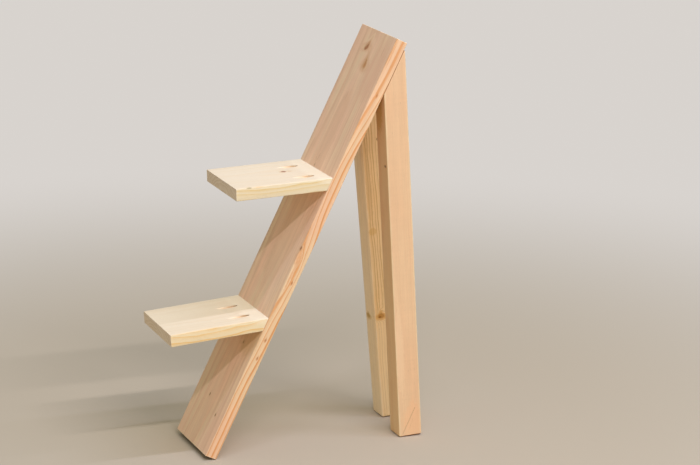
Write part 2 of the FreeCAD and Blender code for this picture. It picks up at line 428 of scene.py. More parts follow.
def figure(t, place, wood):
    """The wood's own colour and grain at a place, and its worn edges."""
    axes = t.node("SeparateXYZ", {0: place}).outputs
    marks = []
    swell = 0.0
    for mark in wood["spots"]:
        masks = t.group(shared("knot"), Place=place, **mark["shape"])
        swell = t.math("ADD", swell, masks["Swell"])
        marks.append((masks, mark))
    wander = wood["wander"]
    if "drift" in wood:
        near_side = t.smooth(axes["X"], *DRIFT_REACH)
        drift = t.math("MULTIPLY", near_side, t.course(axes["Z"], wood["drift"]))
        swell = t.math("ADD", swell, drift)
        wander = t.remap(near_side, wander, 0.0)
    rings = t.group(
        shared("rings"), Place=place, Pith=wood["pith"], Ring_Width=wood["ring_width"],
        Wander=wander, Ripple=wood["ripple_bend"], Swell=swell)
    grain = t.group(
        shared("fibre"), Place=place, Streak_Width=wood["streak_width"],
        Fibre_Width=wood["fibre_width"])
    edge = t.group(
        shared("edges"), Place=place, Half_Width=wood["width"] / 2, Thickness=wood["thickness"],
        Reach=wood["worn_reach"], Bottom_Face=wood["bottom"][0], Bottom_Back=wood["bottom"][1],
        Top_Face=wood["top"][0], Top_Back=wood["top"][1])
    late = t.mix(edge["Side"], rgba(wood["late_face"]), rgba(wood["late_side"]))
    soft_line = t.math("MULTIPLY", t.math("ADD", rings["Band"], rings["Latewood"]), 0.5)
    band = t.math("MULTIPLY", rings["Band"], wood["side_band"])
    clear_line = t.math("MAXIMUM", rings["Latewood"], band)
    either = {0: edge["Side"], 2: soft_line, 3: clear_line}
    line = t.node("Mix", either, data_type="FLOAT").outputs[0]
    late_share = t.math("MULTIPLY", line, t.remap(rings["Ring Tone"], wood["faintest_ring"], 1.0))
    warm = t.smooth(grain["Blotch"], 0.35, 0.65)
    early = t.mix(warm, rgba(wood["early"]), rgba(wood["early_warm"]))
    colour = t.mix(late_share, early, late)
    front = t.smooth(axes["Y"], *[share * wood["thickness"] for share in FACE_REACH])
    tint = t.mix(front, (1, 1, 1, 1), rgba(wood["face_tint"]))
    tint = t.mix(edge["Side"], tint, rgba(wood["side_tint"]))
    colour = t.mix(1.0, colour, tint, blend="MULTIPLY")
    shade = t.remap(grain["Flecks"], 1.0, 0.86)
    for label in ("Streak", "Fibre", "Mottle", "Ripple"):
        swing = wood[label.lower()]
        shade = t.math("MULTIPLY", shade, t.remap(grain[label], 1 - swing, 1 + swing))
    colour = t.scale(colour, shade)
    for masks, mark in marks:
        for part in ("Rim", "Core"):
            if mark[part]:
                colour = t.cover(colour, masks[part], mark[part])
    return colour, rings, grain, edge


def planed_wood(name, wood):
    """Planed, bare face of a piece."""
    material, t, shader = new_material(name)
    place = place_of(t)
    colour, rings, grain, edge = figure(t, place, wood)
    colour = t.cover(colour, edge["Arris"], wood["arris"])
    # Ends: bruising plus painted light, a painted highlight along the end edges and, at the legs'
    # tops, painted shade in the crack against the board
    colour = t.cover(colour, edge["Bottom End"], wood["bottom_bruise"])
    colour = t.cover(colour, edge["Top End"], wood["top_bruise"])
    for start, finish, width, share in wood.get("lines", ()):
        drawn = t.group(shared("line"), Place=place, Start=start, Finish=finish, Width=width)
        colour = t.cover(colour, drawn["Line"], (PENCIL, share))
    t.feed(shader.inputs["Base Color"], colour)
    dull = t.remap(grain["Fibre"], wood["roughness"] - 0.08, wood["roughness"] + 0.08)
    t.feed(shader.inputs["Roughness"], dull)
    shader.inputs["Specular IOR Level"].default_value = 0.35
    fibres = t.math("MULTIPLY", grain["Fibre"], 0.6)
    ridges = t.math("MULTIPLY", rings["Latewood"], 0.5)
    add_relief(t, shader, t.math("ADD", fibres, ridges), distance=0.00012, strength=0.5)
    return material


def sawn_wood(name, wood):
    """Sawn end of the same piece: rings seen end on, duller and darker."""
    material, t, shader = new_material(name)
    place = place_of(t)
    end_on = {**wood, "late_side": wood["late_end"], "late_face": wood["late_end"]}
    colour = figure(t, place, end_on)[0]
    kerf = t.group(shared("kerf"), Place=place)
    # Near the bottom the end takes the foot tint where the wood has one: on the board it is
    # painted shade, darkening the gap under its foot
    at_foot = t.smooth(t.node("SeparateXYZ", {0: place}).outputs["Z"], *FOOT_REACH)
    tint = t.mix(at_foot, rgba(wood["end_tint"]), rgba(wood.get("foot_tint", wood["end_tint"])))
    colour = t.mix(1.0, colour, tint, blend="MULTIPLY")
    worn = t.math("MULTIPLY", t.remap(kerf["Marks"], 0.86, 1.1), t.remap(kerf["Pores"], 0.8, 1.12))
    t.feed(shader.inputs["Base Color"], t.scale(colour, worn))
    shader.inputs["Roughness"].default_value = 0.85
    shader.inputs["Specular IOR Level"].default_value = 0.2
    rough = t.math("ADD", kerf["Marks"], t.math("MULTIPLY", kerf["Pores"], 0.7))
    add_relief(t, shader, rough, distance=0.0004, strength=0.6)
    return material


def drilled_wood(name, wood):
    """Wall of a drilled hole: torn fibres, with a warmer colour towards the deep end; in the
    shelves' pockets this is a bright orange, partly the cut grain and partly painted light.
    """
    material, t, shader = new_material(name)
    place = place_of(t)
    depth = t.node("SeparateXYZ", {0: place}).outputs["Y"]
    deep = t.smooth(depth, wood["bore_pale"], wood["bore_dark"])
    colour = t.cover(figure(t, place, wood)[0], deep, (wood["bore"], BORE_SHARE))
    t.feed(shader.inputs["Base Color"], colour)
    shader.inputs["Roughness"].default_value = 0.8
    torn = t.noise(t.stretch(place, 0.0007, 0.0015), detail=3.0)
    add_relief(t, shader, torn, distance=0.0003, strength=0.5)
    return material


def spot(centre, size, core, rim, tail=1.0, lean=0.0, ragged=0.3, bend=0.0):
    """A knot, a discoloured spot or a patch of painted light or shade, placed in the piece's
    lumber frame. The core and rim are (colour, share).

    The tail is how far it is drawn out along the grain, the lean how far it slopes across it, and
    the bend how far the rings give way round it.
    """
    shape = {
        "Centre": centre, "Size": size, "Tail": tail, "Lean": lean, "Raggedness": ragged,
        "Bend": bend}
    return {"shape": shape, "Core": core, "Rim": rim}


def stain_and_painted_light(centre, size, colour, share, **form):
    """A spot of one colour: a discoloured spot in the wood, or a patch of painted light or painted
    shade.
    """
    return spot(centre, size, (colour, share), None, **form)


def pin_knot(x, z, share=0.9):
    """A tiny drop-shaped knot on the board's face."""
    return spot((x, 0.0, z), (0.0017, 0.003, 0.0026), ((0.27, 0.13, 0.05), share),
                ((0.66, 0.38, 0.20), 0.3), tail=1.7, ragged=0.2, bend=0.0012)


def edge_speck(y, z, share=0.7):
    """A tiny knot on the board's right-hand edge."""
    return spot((BOARD_SIDE, y, z), (0.002, 0.0013, 0.0026), ((0.44, 0.15, 0.05), share),
                ((0.72, 0.33, 0.13), 0.6), tail=1.5, ragged=0.5, bend=0.0015)


def streak(x, z, length=0.009, share=0.35, slope=0.0):
    """A short dark resin streak on the board's face, which may slope across the grain."""
    width = 0.0009
    return stain_and_painted_light((x, 0.0, z), (width, 0.002, length), (0.50, 0.26, 0.12), share,
                 lean=slope * length / width)


PENCIL = (0.42, 0.24, 0.12)
RESIN = (0.49, 0.22, 0.085)
PALE_RESIN = (0.56, 0.28, 0.11)
KNOT_HALO = (0.76, 0.46, 0.26)

# What each wood says. Lengths: where the pith runs, the spacing of the rings, how far they wander
# and ripple, the width of the streaks and fibres, and how far in the edges are worn. Shares: how
# clear the bands are on a side, how strong the faintest ring is, and how far each grain effect
# lightens or darkens. Colours: of early and late wood, tints of the show face, the sides and the
# ends, and the bore's, between two depths. The worn long edges and the ends' colours are (colour,
# share); an end's colour is partly bruising and partly painted light: a painted highlight along
# the end edges, and painted shade at the legs' tops, in the crack against the board. The drift is
# how far the rings shift along the right-hand side, as (height, shift). The lines are pencil
# marks, as (start, finish, width, share).

BOARD_FIR = {
    "pith": (-0.012, 0.1122, 0.0), "ring_width": 0.0066, "wander": 0.03, "ripple_bend": 0.003,
    "drift": [
        (0.00, 0.0003), (0.12, 0.0006), (0.16, 0.0026), (0.23, 0.0050), (0.28, 0.0080),
        (0.345, 0.0078), (0.38, 0.0053), (0.43, 0.0014), (0.48, 0.0007), (0.52, 0.0026),
        (0.60, 0.0096), (0.65, 0.0136), (0.71, 0.0148)],
    "streak_width": 0.007, "fibre_width": 0.0009, "worn_reach": 0.0018,
    "side_band": 0.25, "faintest_ring": 0.7,
    "streak": 0.15, "fibre": 0.11, "mottle": 0.06, "ripple": 0.01,
    "early": (0.835, 0.600, 0.415), "early_warm": (0.855, 0.552, 0.395),
    "late_face": (0.78, 0.500, 0.340), "late_side": (0.71, 0.31, 0.12),
    "late_end": (0.74, 0.48, 0.28),
    "face_tint": (1.02, 1.03, 1.05), "side_tint": (1.06, 1.08, 1.01),
    "arris": ((0.68, 0.50, 0.31), 0.35),
    # The pale end lines are partly bruising and partly a painted highlight along the end edges
    "bottom_bruise": ((0.95, 0.80, 0.60), 0.8), "top_bruise": ((0.92, 0.72, 0.50), 0.5),
    # The foot tint is painted shade: it darkens the bottom end and deepens the dark gap under the
    # board's foot
    "end_tint": (1.08, 1.12, 1.12), "foot_tint": (0.42, 0.36, 0.32),
    "bore": (0.45, 0.24, 0.10), "bore_pale": 0.0, "bore_dark": 0.004,
    "roughness": 0.62,
    "spots": [
        spot((-0.0190, 0.0, 0.6765), (0.0080, 0.008, 0.0048), (RESIN, 0.6), (KNOT_HALO, 0.35),
             tail=2.8, lean=0.20, bend=0.006, ragged=0.5),
        stain_and_painted_light((-0.0200, 0.0, 0.6745), (0.0050, 0.006, 0.0030), (0.36, 0.13, 0.05), 0.75,
              tail=3.4, lean=0.35, ragged=0.5),
        spot((0.0008, 0.0, 0.6485), (0.0078, 0.008, 0.0062), (PALE_RESIN, 0.6), (KNOT_HALO, 0.35),
             tail=3.2, lean=-0.08, bend=0.006, ragged=0.5),
        stain_and_painted_light((0.0020, 0.0, 0.6500), (0.0040, 0.006, 0.0050), (0.52, 0.20, 0.05), 0.6,
              tail=2.4, lean=-0.08, ragged=0.5),
        spot((BOARD_SIDE, 0.0, 0.3545), (0.0026, 0.0020, 0.0056), ((0.22, 0.08, 0.02), 0.95),
             ((0.60, 0.33, 0.15), 0.6), ragged=0.6),
        spot((BOARD_SIDE, 0.0030, 0.3415), (0.0045, 0.0036, 0.0100), ((0.74, 0.31, 0.09), 0.55),
             ((0.70, 0.30, 0.10), 0.45), ragged=0.9, bend=0.005),
        stain_and_painted_light((BOARD_SIDE, 0.0075, 0.3220), (0.0040, 0.0034, 0.0220), (0.76, 0.35, 0.13), 0.45,
              ragged=0.9, bend=0.004),
        stain_and_painted_light((BOARD_SIDE, 0.0040, 0.3030), (0.0040, 0.0016, 0.0230), (0.74, 0.31, 0.10), 0.5,
              ragged=0.9, bend=0.002),
        stain_and_painted_light((BOARD_SIDE, 0.0034, 0.6850), (0.0040, 0.0009, 0.0260), (0.76, 0.36, 0.15), 0.6,
              ragged=0.3),
        # Painted shade: a darker golden patch below the lower shelf deepens the shelf's shadow on
        # the board
        stain_and_painted_light((0.0400, 0.0, 0.2000), (0.0360, 0.006, 0.0400), (0.60, 0.40, 0.18), 0.5,
              ragged=0.5),
        stain_and_painted_light((0.0420, 0.0, 0.6500), (0.0260, 0.010, 0.0600), (0.80, 0.49, 0.35), 0.5,
              ragged=0.6),
        # Painted light: a pale patch on the face between the shelves stands in for light thrown
        # onto it by the shelves
        stain_and_painted_light((0.0250, 0.0, 0.3350), (0.0500, 0.010, 0.0900), (0.93, 0.72, 0.57), 0.25,
              ragged=0.9),
        pin_knot(-0.0107, 0.0802),
        pin_knot(0.0397, 0.0603),
        pin_knot(0.0221, 0.1805, share=0.7),
        edge_speck(0.0108, 0.2989),
        edge_speck(0.0108, 0.2013),
        edge_speck(0.0109, 0.1706),
        edge_speck(0.0090, 0.6154, share=0.5),
        streak(-0.0109, 0.5961),
        streak(0.0148, 0.5258, share=0.25),
        streak(-0.0107, 0.4910, length=0.011, share=0.45, slope=0.21),
        streak(-0.0161, 0.4855, length=0.006, share=0.40, slope=-0.56),
        pin_knot(-0.0127, 0.4765, share=0.55),
        streak(-0.0030, 0.4640, length=0.013),
        streak(0.0431, 0.6800, share=0.3),
        streak(0.0179, 0.5000, share=0.2, length=0.014),
    ],
}

# Painted light: a paler patch at the shelves' back ends next to the board, standing in for light
# thrown back by the board
PAINTED_LIGHT_AT_BACK_END = stain_and_painted_light((0.0, 0.0, 0.1520), (0.1200, 0.012, 0.0240), (0.98, 0.89, 0.72), 0.5, ragged=0.2)

SHELF_PINE = {
    "pith": (0.01, 0.085, 0.0), "ring_width": 0.0075, "wander": 0.02, "ripple_bend": 0.010,
    "streak_width": 0.008, "fibre_width": 0.0009, "worn_reach": 0.0015,
    "side_band": 0.5, "faintest_ring": 0.6,
    "streak": 0.03, "fibre": 0.04, "mottle": 0.02, "ripple": 0.01,
    "early": (0.88, 0.770, 0.61), "early_warm": (0.88, 0.755, 0.59),
    "late_face": (0.87, 0.735, 0.55), "late_side": (0.80, 0.600, 0.31),
    "late_end": (0.78, 0.64, 0.46),
    "face_tint": (1.0, 1.0, 1.0), "side_tint": (0.98, 0.99, 0.92),
    "arris": ((0.90, 0.80, 0.64), 0.4),
    # The pale end lines are partly bruising and partly a painted highlight along the end edges
    "bottom_bruise": ((0.92, 0.84, 0.70), 0.5), "top_bruise": ((0.97, 0.93, 0.84), 0.8),
    "end_tint": (1.0, 0.96, 1.04),
    # The bore's bright orange is partly the cut grain and partly painted light, standing in for
    # light thrown about inside the pockets
    "bore": (1.0, 0.58, 0.12), "bore_pale": 0.001, "bore_dark": 0.004,
    "roughness": 0.6,
    "spots": [PAINTED_LIGHT_AT_BACK_END],
}

UPPER_SHELF_PINE = {
    **SHELF_PINE,
    "spots": [
        PAINTED_LIGHT_AT_BACK_END,
        spot((-0.0030, 0.0, 0.1041), (0.0040, 0.005, 0.0050), ((0.34, 0.13, 0.08), 0.92),
             ((0.78, 0.52, 0.30), 0.5), ragged=0.3, bend=0.004),
        stain_and_painted_light((-0.0018, 0.0, 0.1130), (0.0032, 0.004, 0.0040), (0.76, 0.50, 0.26), 0.6,
              tail=1.6, ragged=0.5),
        spot((BOARD_SIDE, 0.0006, 0.0220), (0.0030, 0.0012, 0.0040), ((0.33, 0.27, 0.12), 0.75),
             ((0.70, 0.56, 0.32), 0.5), ragged=0.6),
        spot((BOARD_SIDE, 0.0006, 0.0375), (0.0024, 0.0012, 0.0060), ((0.80, 0.52, 0.22), 0.5),
             ((0.80, 0.55, 0.25), 0.3), ragged=0.8),
    ],
}

LOWER_SHELF_PINE = {
    **SHELF_PINE,
    "pith": (-0.02, 0.094, 0.0), "late_side": (0.88, 0.60, 0.29), "ripple_bend": 0.014,
    "early": (0.90, 0.785, 0.61), "early_warm": (0.90, 0.77, 0.59), "side_tint": (1.0, 0.98, 0.87),
    # Its bore's orange is partly the cut grain and partly painted light as well
    "bore": (0.80, 0.44, 0.14),
}

LEG_FIR = {
    "pith": (-0.03, 0.16, 0.0), "ring_width": 0.0036, "wander": 0.02, "ripple_bend": 0.003,
    "streak_width": 0.009, "fibre_width": 0.0009, "worn_reach": 0.003,
    "side_band": 0.3, "faintest_ring": 0.45,
    "streak": 0.06, "fibre": 0.06, "mottle": 0.04, "ripple": 0.025,
    "early": (0.84, 0.588, 0.374), "early_warm": (0.84, 0.552, 0.345),
    "late_face": (0.81, 0.510, 0.305), "late_side": (0.82, 0.545, 0.335),
    "late_end": (0.66, 0.40, 0.22),
    "face_tint": (1.0, 1.02, 0.94), "side_tint": (1.0, 1.0, 1.0),
    "arris": ((0.93, 0.75, 0.50), 0.8),
    # The lower end's pale line is partly bruising and partly a painted highlight; the dark top is
    # painted shade in the crack where the leg meets the board
    "bottom_bruise": ((0.95, 0.78, 0.56), 0.6), "top_bruise": ((0.42, 0.17, 0.07), 0.6),
    # The dark end colour is partly the end grain and partly painted shade: the dark line under the
    # foot and in the crack at the mitre
    "end_tint": (0.50, 0.30, 0.20),
    "bore": (0.45, 0.26, 0.12), "bore_pale": 0.03, "bore_dark": 0.02,
    "roughness": 0.6,
    "spots": [
        spot((0.0100, 0.0, 0.4462), (0.0036, 0.005, 0.0020), ((0.19, 0.13, 0.08), 0.9),
             (RESIN, 0.3), bend=0.003),
        stain_and_painted_light((LEG_SIDE, 0.0070, 0.1500), (0.0060, 0.0075, 0.0900), (0.97, 0.72, 0.48), 0.4,
              ragged=0.6),
        # Painted light: an orange patch low on the side stands in for warm light thrown up by the
        # floor
        stain_and_painted_light((LEG_SIDE, 0.0250, 0.0300), (0.0060, 0.0200, 0.0350), (0.95, 0.52, 0.28), 0.3,
              ragged=0.6),
        # Painted shade: a dark golden patch at the top of the front face, where the board shades
        # the leg
        stain_and_painted_light((-0.0120, 0.0, 0.5400), (0.0220, 0.004, 0.0500), (0.64, 0.39, 0.11), 0.85,
              ragged=0.4),
    ],
    "lines": [
        ((LEG_SIDE, 0.0283, 0.0480), (LEG_SIDE, 0.0061, 0.0080), 0.0013, 0.6),
        ((LEG_SIDE, 0.0240, 0.0300), (LEG_SIDE, 0.0166, 0.0120), 0.0008, 0.25),
    ],
}

LEG_PINE = {
    "pith": (0.05, -0.045, 0.0), "ring_width": 0.0041, "wander": 0.016, "ripple_bend": 0.006,
    "streak_width": 0.006, "fibre_width": 0.0008, "worn_reach": 0.003,
    "side_band": 0.3, "faintest_ring": 0.7,
    "streak": 0.08, "fibre": 0.07, "mottle": 0.05, "ripple": 0.03,
    "early": (0.92, 0.68, 0.41), "early_warm": (0.91, 0.63, 0.34),
    "late_face": (0.80, 0.57, 0.35), "late_side": (0.66, 0.42, 0.18),
    "late_end": (0.62, 0.42, 0.22),
    "face_tint": (1.08, 1.22, 1.48), "side_tint": (1.0, 1.0, 0.95),
    "arris": ((0.96, 0.82, 0.64), 0.6),
    # The lower end's pale line is partly bruising and partly a painted highlight; the dark top is
    # painted shade in the crack where the leg meets the board
    "bottom_bruise": ((0.92, 0.74, 0.50), 0.4), "top_bruise": ((0.30, 0.16, 0.07), 0.8),
    # The dark end colour is partly the end grain and partly painted shade: the dark line under the
    # foot and in the crack at the mitre
    "end_tint": (0.50, 0.36, 0.24),
    "bore": (0.5, 0.30, 0.12), "bore_pale": 0.03, "bore_dark": 0.02,
    "roughness": 0.6,
    "spots": [
        stain_and_painted_light((LEG_SIDE, 0.0150, 0.0900), (0.008, 0.0400, 0.1100), (0.99, 0.79, 0.51), 0.45,
              ragged=0.5),
        spot((LEG_SIDE, 0.0112, 0.1755), (0.008, 0.0070, 0.0044), ((0.50, 0.22, 0.03), 0.9),
             ((0.74, 0.40, 0.10), 0.7), tail=1.5, ragged=0.4, bend=0.010),
        stain_and_painted_light((LEG_SIDE, 0.0090, 0.1745), (0.008, 0.0034, 0.0022), (0.28, 0.10, 0.01), 0.75,
              ragged=0.5),
        spot((-0.0078, 0.0, 0.1722), (0.0080, 0.006, 0.0044), ((0.50, 0.30, 0.06), 0.85),
             ((0.68, 0.44, 0.14), 0.6), ragged=0.4, bend=0.007),
        spot((LEG_SIDE, 0.0269, 0.4683), (0.004, 0.0014, 0.0020), ((0.42, 0.24, 0.09), 0.85),
             ((0.6, 0.36, 0.14), 0.3), bend=0.001),
        stain_and_painted_light((LEG_SIDE, 0.0077, 0.3190), (0.006, 0.0085, 0.0070), (0.70, 0.42, 0.12), 0.5,
              ragged=0.5),
        stain_and_painted_light((LEG_SIDE, 0.0070, 0.3950), (0.006, 0.0050, 0.0650), (0.68, 0.45, 0.22), 0.5,
              ragged=0.9),
    ],
}


def zinc_steel():
    """Yellowish zinc plating on the screws."""
    material, t, shader = new_material("zinc steel")
    cloud = t.noise(t.stretch(place_of(t), 0.002, 0.002), detail=3.0)
    t.feed(shader.inputs["Base Color"], t.mix(cloud, (0.66, 0.44, 0.16, 1), (0.82, 0.66, 0.36, 1)))
    t.feed(shader.inputs["Roughness"], t.remap(cloud, 0.25, 0.45))
    shader.inputs["Metallic"].default_value = 1.0
    return material


# Lumber meshes

def loose_turn(lean):
    return Matrix.Rotation(math.radians(lean), 4, "X")


class Stock:
    """A wooden piece measured in its lumber frame from the frame's own solid."""

    def __init__(self, node, lean):
        turn = loose_turn(lean)
        points = [turn.inverted() @ vertex.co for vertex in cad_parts[node].data.vertices]
        low = Vector([min(point[axis] for point in points) for axis in range(3)])
        high = Vector([max(point[axis] for point in points) for axis in range(3)])
        origin = Vector(((low.x + high.x) / 2, low.y, low.z))
        self.node = node
        self.width, self.thickness, self.length = high - low
        self.matrix = turn @ Matrix.Translation(origin)
        at_face = [point.z - low.z for point in points if point.y < low.y + TOLERANCE]
        at_back = [point.z - low.z for point in points if point.y > high.y - TOLERANCE]
        self.bottom = (min(at_face), min(at_back))
        self.top = (max(at_face), max(at_back))
        self.skew = 0.0
        self.tip = None
        # A mitred top runs up to a blunt tip, behind the show face
        crest = min(point.y for point in points if point.z > high.z - TOLERANCE) - low.y
        if crest > TOLERANCE:
            self.tip = self.top[1]
            rise = (self.tip - self.top[0]) / crest
            self.top = (self.top[0], self.top[0] + rise * self.thickness)

    def end_height(self, end, y):
        """Where a sawn end cuts a line along the grain at this depth."""
        share = y / self.thickness
        return end[0] + (end[1] - end[0]) * share

    def bottom_height(self, x, y):
        """The same at the bottom end, which may be a little out of square: higher on the left."""
        return self.end_height(self.bottom, y) + self.skew * (0.5 - x / self.width)


def arris_radius(nominal, wear, nicks, corner, z):
    """Radius of an eased long edge at a height: uneven, and larger at a nick."""
    uneven = noise.noise(Vector((corner * 7.3, z * 55.0, 0.4)))
    fine = noise.noise(Vector((corner * 3.1, z * 260.0, 4.0)))
    radius = nominal * (1 + wear * uneven + 0.5 * wear * fine)
    for nick_corner, nick_z, reach, depth in nicks:
        if nick_corner == corner:
            torn = 1 + 0.6 * noise.noise(Vector((2.0, z * 900.0, nick_z)))
            radius += depth * torn * math.exp(-(((z - nick_z) / reach) ** 2))
    return max(radius, nominal * 0.35)


def section(stock, radii, inset, across_steps, deep_steps):
    """Points round a cross-section, from the back right corner: arcs joined by straight sides."""
    half, deep = stock.width / 2 - inset, stock.thickness / 2 - inset
    points = []
    for corner, (side, face) in enumerate(CORNERS):
        radius = radii[corner]
        centre = Vector((side * (half - radius), face * (deep - radius)))
        first = math.pi / 2 * corner
        for step in range(ARC_STEPS + 1):
            angle = first + math.pi / 2 * step / ARC_STEPS
            points.append(centre + radius * Vector((math.cos(angle), math.sin(angle))))
        following = (corner + 1) % 4
        next_side, next_face = CORNERS[following]
        next_radius = radii[following]
        next_centre = Vector((next_side * (half - next_radius), next_face * (deep - next_radius)))
        next_angle = math.pi / 2 * (corner + 1)
        goal = next_centre + next_radius * Vector((math.cos(next_angle), math.sin(next_angle)))
        steps = across_steps if corner % 2 == 0 else deep_steps
        start = points[-1]
        for step in range(1, steps):
            points.append(start.lerp(goal, step / steps))
    return [(point.x, point.y + stock.thickness / 2) for point in points]


def blunt(build, height):
    """Takes off what lies above a height and closes the mesh with a sawn face."""
    parts = build.verts[:] + build.edges[:] + build.faces[:]
    cut = bmesh.ops.bisect_plane(
        build, geom=parts, plane_co=(0, 0, height), plane_no=(0, 0, 1), clear_outer=True)
    rim = [part for part in cut["geom_cut"] if isinstance(part, bmesh.types.BMEdge)]
    for face in bmesh.ops.contextual_create(build, geom=rim)["faces"]:
        face.material_index = SAWN


def stock_object(stock, name, arris, wear, nicks, end_eases):
    """Mesh of a piece: rings of points along the grain, closed by sawn ends.

    The arris is the radius of the eased long edges, and wear is how uneven they are. The end
    eases are how far the bottom and the top end are softened.
    """
    low_ease, high_ease = end_eases
    mesh = bpy.data.meshes.new(name)
    build = bmesh.new()
    count = round(stock.length / RING_GAP)
    across_steps = max(2, round(stock.width / ACROSS_GAP))
    deep_steps = max(2, round(stock.thickness / DEEP_GAP))
    levels = [(0.0, 0.0, low_ease), (0.0, low_ease, 0.0)]
    levels += [(step / count, 0.0, 0.0) for step in range(1, count)]
    levels += [(1.0, -high_ease, 0.0), (1.0, 0.0, high_ease)]
    rings = []
    for share, shift, inset in levels:
        middle = stock.length * share
        radii = [arris_radius(arris, wear, nicks, corner, middle) for corner in range(4)]
        ring = []
        for x, y in section(stock, radii, inset, across_steps, deep_steps):
            low = stock.bottom_height(x, y)
            high = stock.end_height(stock.top, y)
            ring.append(build.verts.new((x, y, low + (high - low) * share + shift)))
        rings.append(ring)
    size = len(rings[0])
    for below, above in zip(rings, rings[1:]):
        for index in range(size):
            after = (index + 1) % size
            build.faces.new((below[index], below[after], above[after], above[index]))
    for ring in (rings[0][::-1], rings[-1]):
        build.faces.new(ring)
    sawn = {vertex for ring in (rings[0], rings[-1]) for vertex in ring}
    for face in build.faces:
        face.smooth = True
        if any(vertex in sawn for vertex in face.verts):
            face.material_index = SAWN
            face.smooth = False
    if stock.tip:
        blunt(build, stock.tip)
    build.normal_update()
    build.to_mesh(mesh)
    build.free()
    piece = bpy.data.objects.new(name, mesh)
    bpy.context.scene.collection.objects.link(piece)
    piece.matrix_world = stock.matrix
    return piece


def cutter(outline, seat):
    """Turned cutting tool from (radius, height) points, along the seat's Z."""
    build = bmesh.new()
    rows = []
    for radius, height in outline:
        row = []
        for step in range(CUTTER_SIDES):
            angle = 2 * math.pi * step / CUTTER_SIDES
            point = Vector((radius * math.cos(angle), radius * math.sin(angle), height))
            row.append(build.verts.new(seat @ point))
        rows.append(row)
    for below, above in zip(rows, rows[1:]):
        for step in range(CUTTER_SIDES):
            after = (step + 1) % CUTTER_SIDES
            build.faces.new((below[step], below[after], above[after], above[step]))
    build.faces.new(rows[0][::-1])
    build.faces.new(rows[-1])
    for face in build.faces:
        face.material_index = DRILLED
    build.normal_update()
    mesh = bpy.data.meshes.new("cutter")
    build.to_mesh(mesh)
    build.free()
    return mesh


def drill(piece, outlines):
    """Takes turned holes out of a piece. Each is (outline, seat)."""
    for outline, seat in outlines:
        mesh = cutter(outline, seat)
        tool = bpy.data.objects.new("cutter", mesh)
        for slot in piece.data.materials:
            mesh.materials.append(slot)
        bpy.context.scene.collection.objects.link(tool)
        change = piece.modifiers.new("hole", "BOOLEAN")
        change.operation = "DIFFERENCE"
        change.solver = "EXACT"
        change.object = tool
        bpy.context.view_layer.update()
        ready = piece.evaluated_get(bpy.context.evaluated_depsgraph_get())
        result = bpy.data.meshes.new_from_object(ready)
        piece.modifiers.clear()
        old = piece.data
        piece.data = result
        bpy.data.meshes.remove(old)
        bpy.data.objects.remove(tool)
        bpy.data.meshes.remove(mesh)
    sharpen(piece.data)


def sharpen(mesh):
    """Marks every edge that turns clearly as sharp, so that the rest can be smooth."""
    build = bmesh.new()
    build.from_mesh(mesh)
    for face in build.faces:
        face.smooth = True
    limit = math.radians(SHARP_ANGLE)
    for edge in build.edges:
        edge.smooth = edge.is_manifold and edge.calc_face_angle(math.pi) < limit
    build.to_mesh(mesh)
    build.free()


# Where the screws are

def seat_matrix(place, direction):
    return Matrix.Translation(place) @ direction.to_track_quat("Z", "Y").to_matrix().to_4x4()


def screw_seats(node, directions, length):
    """Seats of the screws in a node, found from their tips, left to right."""
    points = [vertex.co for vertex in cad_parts[node].data.vertices]
    middle = (min(point.x for point in points) + max(point.x for point in points)) / 2
    left = [point for point in points if point.x < middle]
    right = [point for point in points if point.x >= middle]
    seats = []
    for direction, part in zip(directions, (left, right)):
        tip = max(part, key=lambda point: point.dot(direction))
        seats.append(seat_matrix(tip - direction * length, direction))
    return seats


def pocket_direction(lean):
    """Down into the board at the pocket's angle, from a shelf laid back by this lean."""
    angle = math.radians(POCKET_ANGLE)
    return loose_turn(lean) @ Vector((0, math.sin(angle), math.cos(angle)))


def forward_direction(lean):
    """Square into a leg's back."""
    return loose_turn(lean) @ Vector((0, -1, 0))


LEG_DIRECTIONS = (forward_direction(LEFT_LEG_LEAN), forward_direction(RIGHT_LEG_LEAN))
SHELF_SEATS = {
    "upper_shelf": screw_seats(
        "upper_shelf_screws", [pocket_direction(UPPER_SHELF_LEAN)] * 2, POCKET_SCREW_LENGTH),
    "lower_shelf": screw_seats(
        "lower_shelf_screws", [pocket_direction(LOWER_SHELF_LEAN)] * 2, POCKET_SCREW_LENGTH),
}
SHORT_SEATS = screw_seats("short_leg_screws", LEG_DIRECTIONS, SHORT_SCREW_LENGTH)
LONG_SEATS = screw_seats("long_leg_screws", LEG_DIRECTIONS, LONG_SCREW_LENGTH)


def shank_outline(length):
    return [(SHANK_HOLE_RADIUS, 0.0), (SHANK_HOLE_RADIUS, length + TIP_CLEARANCE)]


def pocket_outline():
    return [
        (POCKET_RADIUS, -POCKET_RUN), (POCKET_RADIUS, 0.0), (SHANK_HOLE_RADIUS, 0.0),
        (SHANK_HOLE_RADIUS, POCKET_SCREW_LENGTH + TIP_CLEARANCE)]


def countersunk_outline(length):
    return [
        (COUNTERSINK_RADIUS, -CUT_OVERRUN), (COUNTERSINK_RADIUS, 0.0),
        (SHANK_HOLE_RADIUS, COUNTERSINK_DEPTH), (SHANK_HOLE_RADIUS, length + TIP_CLEARANCE)]


# The pieces

def finish_wood(piece, stock, wood, holes):
    """Gives a wooden piece its materials and holes, and puts it in the node's place."""
    wood = {
        **wood, "width": stock.width, "thickness": stock.thickness, "bottom": stock.bottom,
        "top": stock.top}
    for make, word in ((planed_wood, "planed"), (sawn_wood, "sawn"), (drilled_wood, "drilled")):
        piece.data.materials.append(make(piece.name + " " + word, wood))
    drill(piece, holes)
    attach(piece, "root")
    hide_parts(stock.node)


